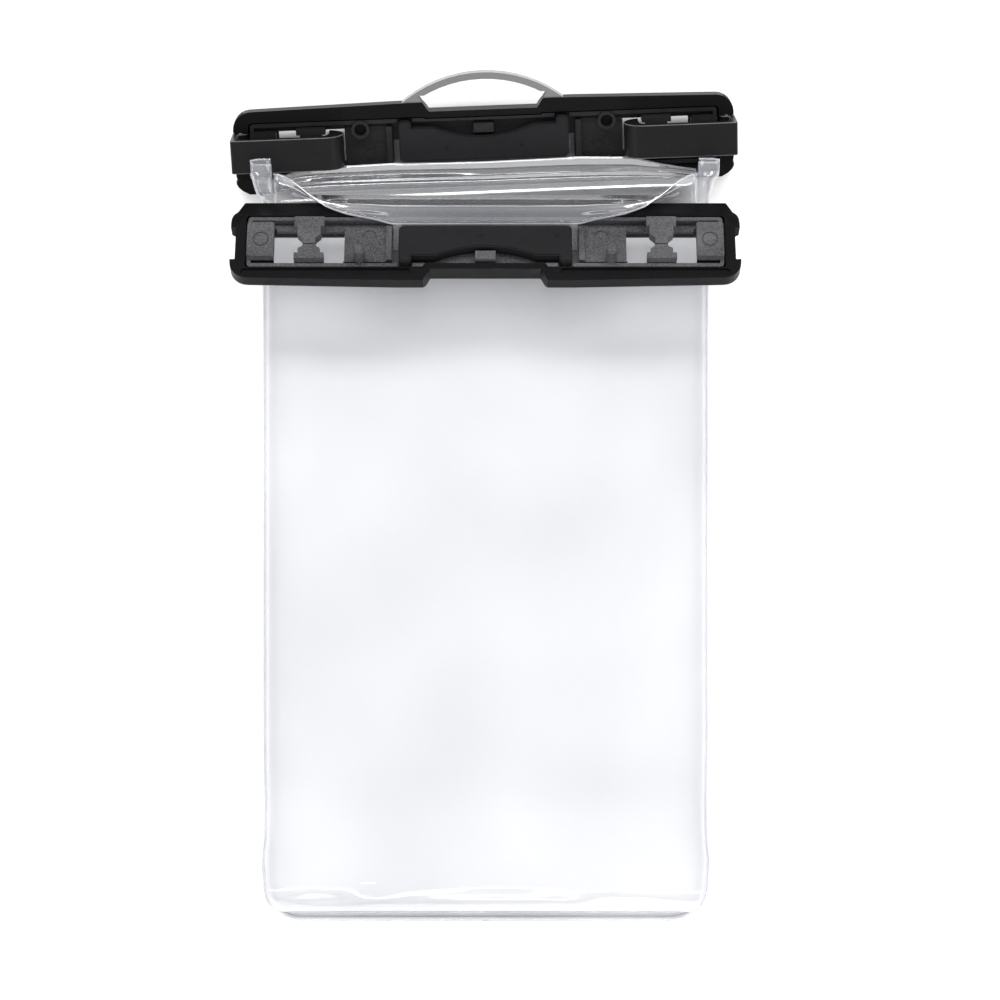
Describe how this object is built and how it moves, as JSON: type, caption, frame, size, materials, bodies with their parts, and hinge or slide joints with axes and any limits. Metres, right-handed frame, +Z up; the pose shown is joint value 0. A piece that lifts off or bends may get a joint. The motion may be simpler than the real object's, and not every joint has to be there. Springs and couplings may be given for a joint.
{
  "type": "waterproof phone pouch",
  "caption": "Clear welded film pouch for a phone, with its mouth held open by a hinged plastic clamp with swing latches and a lanyard loop.",
  "frame": {"origin": "middle of the flat underside of the bag's back film, on the surface the pouch lies on", "axes": "+X to the right, +Y along the bag towards its mouth, +Z up, out of the front film"},
  "size_m": [0.1213, 0.2061, 0.0281],
  "materials": {
    "film": "clear soft film",
    "cover": "moulded black, fine grain",
    "frame": "moulded black, sparked",
    "bar": "moulded black, satin",
    "latch": "moulded black, satin",
    "pin": "ground steel"
  },
  "bodies": {
    "pouch": {"back_film": "film", "front_film": "film", "front_lip": "film", "left_gusset": "film", "right_gusset": "film", "left_ear": "film", "right_ear": "film", "back_outer_cover": "cover", "back_inner_frame": "frame", "back_film_bar": "bar", "left_latch_pin": "pin", "right_latch_pin": "pin"},
    "front_half": {"front_outer_cover": "cover", "front_inner_frame": "frame", "front_film_bar": "bar"},
    "left_latch": {"left_latch": "latch"},
    "right_latch": {"right_latch": "latch"}
  },
  "joints": [
    {"name": "mouth_fold", "type": "hinge", "parent": "pouch", "child": "front_half", "pos_m": [0, 0.08522, 0.01953], "axis": [-0.9998, -0.0192, 0.008], "range_deg": [0, 135], "deforming": ["front_lip"]},
    {"name": "left_latch_swing", "type": "hinge", "parent": "pouch", "child": "left_latch", "pos_m": [-0.05876, 0.09869, 0.00687], "axis": [0.0361, -0.939, -0.342], "range_deg": [0, 90], "deforming": ["left_ear"]},
    {"name": "right_latch_swing", "type": "hinge", "parent": "pouch", "child": "right_latch", "pos_m": [0.05796, 0.10317, 0.00687], "axis": [-0.0361, 0.939, 0.342], "range_deg": [0, 90], "deforming": ["right_ear"]}
  ]
}
